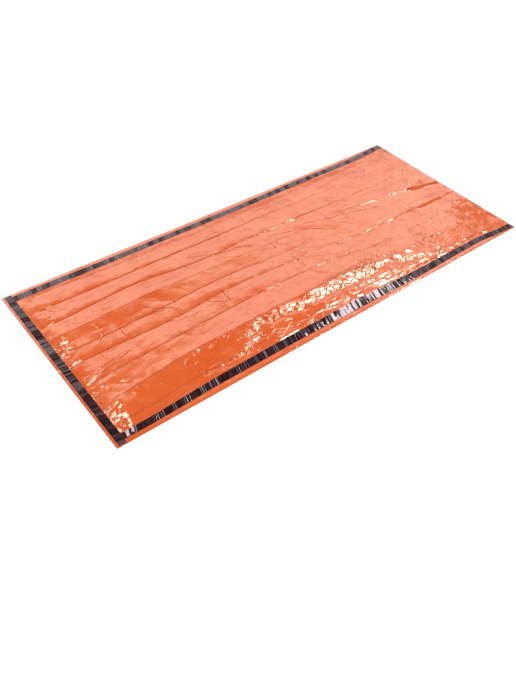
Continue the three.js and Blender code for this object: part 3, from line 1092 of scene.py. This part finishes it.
# %% Mix the black tape
def tape_material(name, lengthwise, creased_above, dull_above):
    """Tape in short lengths, each with its own tilt and shade. lengthwise is the direction that it runs
    in, and the last two say how few of its joins show as lines and how few of its longer lengths are
    dull."""
    material, place = new_material(name)
    dust = noise(place, DUST_PER_METRE, detail=4.0)
    run = place.vector_math("DOT_PRODUCT", place, lengthwise, output="Value")
    run = run + noise(place, WAVERS_PER_METRE) * JOIN_WAVER
    one_way, lengths = {"voronoi_dimensions": "1D"}, {"W": run, "Scale": LENGTHS_PER_METRE}
    cell = place.node("ShaderNodeTexVoronoi", one_way, lengths, "Color")
    tilt, shade, creased = (
        cell.node("ShaderNodeSeparateColor", None, {"Color": cell}, channel) for channel in range(3)
    )
    middle = place.node("ShaderNodeTexVoronoi", one_way, lengths, "W")
    edge = place.node("ShaderNodeTexVoronoi", {"feature": "DISTANCE_TO_EDGE", **one_way}, lengths)
    lines = 1 - edge.between(0.0, JOIN_WIDTH * LENGTHS_PER_METRE)
    lines = lines * creased.between(creased_above, creased_above + JOIN_FADE)
    longer_lengths = {"W": run, "Scale": WORN_PER_METRE}
    worn = place.node("ShaderNodeTexVoronoi", one_way, longer_lengths, "Color")
    worn = worn.node("ShaderNodeSeparateColor", None, {"Color": worn})
    tilted = (run - middle) * (tilt - 0.5) * TILT_OF_LENGTHS
    black = (shade * (1 - DUST_SHARE) + dust * DUST_SHARE).blend(TAPE_BLACK, DUSTY_BLACK)
    finish_material(
        place, tilted + lines * JOIN_HEIGHT + noise(place, TAPE_GRAIN_PER_METRE) * TAPE_GRAIN_HEIGHT,
        matt=(worn.between(dull_above, dull_above + WORN_FADE) * MOST_WORN * (1 - lines), DULL_BLACK),
        # The pale lines at the joins are painted highlight.
        Base_Color=(lines * MOST_JOIN_HIGHLIGHT).blend(black, PAINTED_JOIN_HIGHLIGHT),
        Roughness=dust * TAPE_ROUGHNESS_SPREAD + TAPE_LEAST_ROUGHNESS,
        Specular_IOR_Level=TAPE_SPECULAR,
        Specular_Tint=TAPE_GLOSS_TINT,
    )
    return material


far_finish = tape_material("black_tape_far", (1.0, -0.25, 0.0), creased_above=0.7, dull_above=0.5)
near_finish = tape_material("black_tape_near", (1.0, -0.25, 0.0), creased_above=0.7, dull_above=0.9)
foot_finish = tape_material("black_tape_foot", (0.1, 1.0, 0.0), creased_above=0.85, dull_above=0.55)

# %% Give the sheets their finishes
FINISHES = [
    (upper_film, (film, silver)),
    (lower_film, (film, silver)),
    (far_tape, (far_finish,)),
    (near_tape, (near_finish,)),
    (foot_tape, (foot_finish,)),
]
for piece, finishes in FINISHES:
    for finish in finishes:
        piece.data.materials.append(finish)
print([material.name for material in bpy.data.materials])

# %% [markdown]
# ## The light
# Gloss shows what stands around it. The film's pale parts mirror one large soft wall of light on the far
# side of the bag. The wall is brightest at the height that a flat film mirrors and fades out above it, so a
# small tilt is enough to turn a facet dark. A small bright lamp beside the top of the wall makes the glints,
# on facets that lean towards the camera, and another one above its other end makes those near the foot.
# Fainter walls on the other sides keep the film glossy from all round. The rest of the room is dim, and a
# lamp overhead that no gloss can see keeps the colours and the floor bright.

# %% Set the lights
LAMP_DISTANCE = 15.0
WALL = [
    # (lowest, highest, first azimuth, last azimuth, radiance)
    (4, 20, 25, 93, 0.5),
    (20, 25, 33, 93, 1.5),
    (25, 30, 33, 93, 2.2),
    (30, 34, 33, 93, 2.7),
    (34, 36, 32, 93, 2.7),
    (36, 39, 31, 93, 3.4),
    (39, 42, 30, 93, 3.0),
    (42, 45, 27, 93, 2.5),
    (45, 48, 21, 93, 1.6),
    (48, 51, 21, 93, 0.8),
    (51, 55, 21, 93, 0.3),
]
LAMPS = [
    dict(name="glint_lamp", azimuth=9.5, elevation=53.5, wide=20, tall=16, radiance=28.0),
    dict(name="foot_lamp", azimuth=97, elevation=61, wide=12, tall=9, radiance=24.0),
    dict(name="wall_end", azimuth=24, elevation=31, wide=18, tall=18, radiance=0.3),
    dict(name="back_wall", azimuth=228, elevation=28, wide=60, tall=26, radiance=2.5),
    dict(name="foot_wall", azimuth=148, elevation=30, wide=80, tall=36, radiance=1.0),
    dict(name="mouth_wall", azimuth=312, elevation=30, wide=80, tall=36, radiance=1.0),
]


def area_light(name, azimuth, elevation, wide, tall, radiance):
    """A lamp that only gloss sees, with its direction and its size as seen from the bag in degrees."""
    a, e = math.radians(azimuth), math.radians(elevation)
    light = bpy.data.lights.new(name, "AREA")
    light.shape = "RECTANGLE"
    sides = (2 * LAMP_DISTANCE * math.tan(math.radians(angle) / 2) for angle in (wide, tall))
    light.size, light.size_y = sides
    light.energy = math.pi * radiance * light.size * light.size_y
    lamp = bpy.data.objects.new(name, light)
    direction = Vector((math.cos(a) * math.cos(e), math.sin(a) * math.cos(e), math.sin(e)))
    lamp.location = LAMP_DISTANCE * direction
    lamp.rotation_euler = lamp.location.to_track_quat("Z", "Y").to_euler()
    lamp.visible_camera = lamp.visible_diffuse = False
    scene.collection.objects.link(lamp)
    return lamp


for low, high, first, last, radiance in WALL:
    area_light(f"wall_{low}", (first + last) / 2, (low + high) / 2, last - first, high - low, radiance)
for lamp in LAMPS:
    area_light(**lamp)
overhead = area_light("overhead", azimuth=0, elevation=90, wide=120, tall=120, radiance=1.4)
overhead.visible_glossy, overhead.visible_diffuse = False, True
print(len(WALL) + len(LAMPS) + 1, "lamps")

# %% Dim the room
ROOM_STRENGTH = 0.07

world = bpy.data.worlds.new("room")
scene.world = world
world.use_nodes = True
room = world.node_tree.nodes["Background"].inputs
room["Color"].default_value = (1, 1, 1, 1)
room["Strength"].default_value = ROOM_STRENGTH
scene.view_settings.view_transform = "Standard"

# %% [markdown]
# ## The floor
# A plain pale floor, which lies just under the bag. It is matt, so it never competes with the film.

# %% Lay the floor
FLOOR_HALF_SIZE = 30.0
FLOOR_GAP = 0.0002
FLOOR_SHADES = (0.93, 0.93, 0.93, 1.0), (0.95, 0.95, 0.95, 1.0)
FLOOR_CLOUDS = 2.0


def staged(name, mesh, finish):
    """An object that stands round the bag and isn't part of it."""
    stage = bpy.data.objects.new(name, mesh)
    scene.collection.objects.link(stage)
    mesh.materials.append(finish)
    return stage


floor_mesh = bpy.data.meshes.new("floor")
corners = [(-1, -1), (1, -1), (1, 1), (-1, 1)]
floor_places = [(FLOOR_HALF_SIZE * x, FLOOR_HALF_SIZE * y, -FLOOR_GAP) for x, y in corners]
floor_mesh.from_pydata(floor_places, [], [(0, 1, 2, 3)])
floor_finish, place = new_material("pale_floor")
floor_colour = noise(place, FLOOR_CLOUDS).blend(*FLOOR_SHADES)
finish_material(place, Base_Color=floor_colour, Roughness=1.0, Specular_IOR_Level=0.0)
staged("floor", floor_mesh, floor_finish)
print("the floor is", 2 * FLOOR_HALF_SIZE, "m wide")

# %% [markdown]
# Seen from low down, the floor ends at a horizon. A pale dome stands behind it as a backdrop. Only the
# camera sees it, so the film still mirrors the dim room and the lamps.

# %% Hang the backdrop
BACKDROP_RADIUS = 28.0
BACKDROP_SHADE = (0.92, 0.92, 0.92, 1.0)

backdrop_mesh = bpy.data.meshes.new("backdrop")
dome = bmesh.new()
bmesh.ops.create_uvsphere(dome, u_segments=64, v_segments=32, radius=BACKDROP_RADIUS)
dome.to_mesh(backdrop_mesh)
dome.free()
backdrop_finish, place = new_material("pale_backdrop")
backdrop_finish.cycles.emission_sampling = "NONE"
pale = place.node("ShaderNodeEmission", None, {"Color": BACKDROP_SHADE, "Strength": 1.0})
place.node("ShaderNodeOutputMaterial", None, {"Surface": pale})
backdrop = staged("backdrop", backdrop_mesh, backdrop_finish)
backdrop.visible_diffuse = backdrop.visible_glossy = backdrop.visible_shadow = False

# %% [markdown]
# ## Attach the pieces and hide their solids
# Nothing moves, so all five pieces ride on the one body, and each hides the plain solid that it takes the
# place of. Each is a sheet that was cut flat and laid. The table also gives its slot, its width and length
# in metres and what it lies on, which the loop doesn't use.

SHEETS = [
    # (piece, node it stands for, slot, width, length, what it lies on)
    (lower_film, "bottom_panel", "orange_film", 0.910, 2.130, []),
    (upper_film, "top_panel", "orange_film", 0.906, 2.126, [lower_film.name]),
    (foot_tape, "foot_tape", "black_tape", 0.030, 0.904, [upper_film.name]),
    (far_tape, "side_tape_far", "black_tape", 0.032, 2.086, [upper_film.name]),
    (near_tape, "side_tape_near", "black_tape", 0.032, 2.086, [upper_film.name]),
]
for piece, node, slot, width, length, below in SHEETS:
    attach(piece, "root")
    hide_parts(node)
    print(piece.name, "stands for", node)
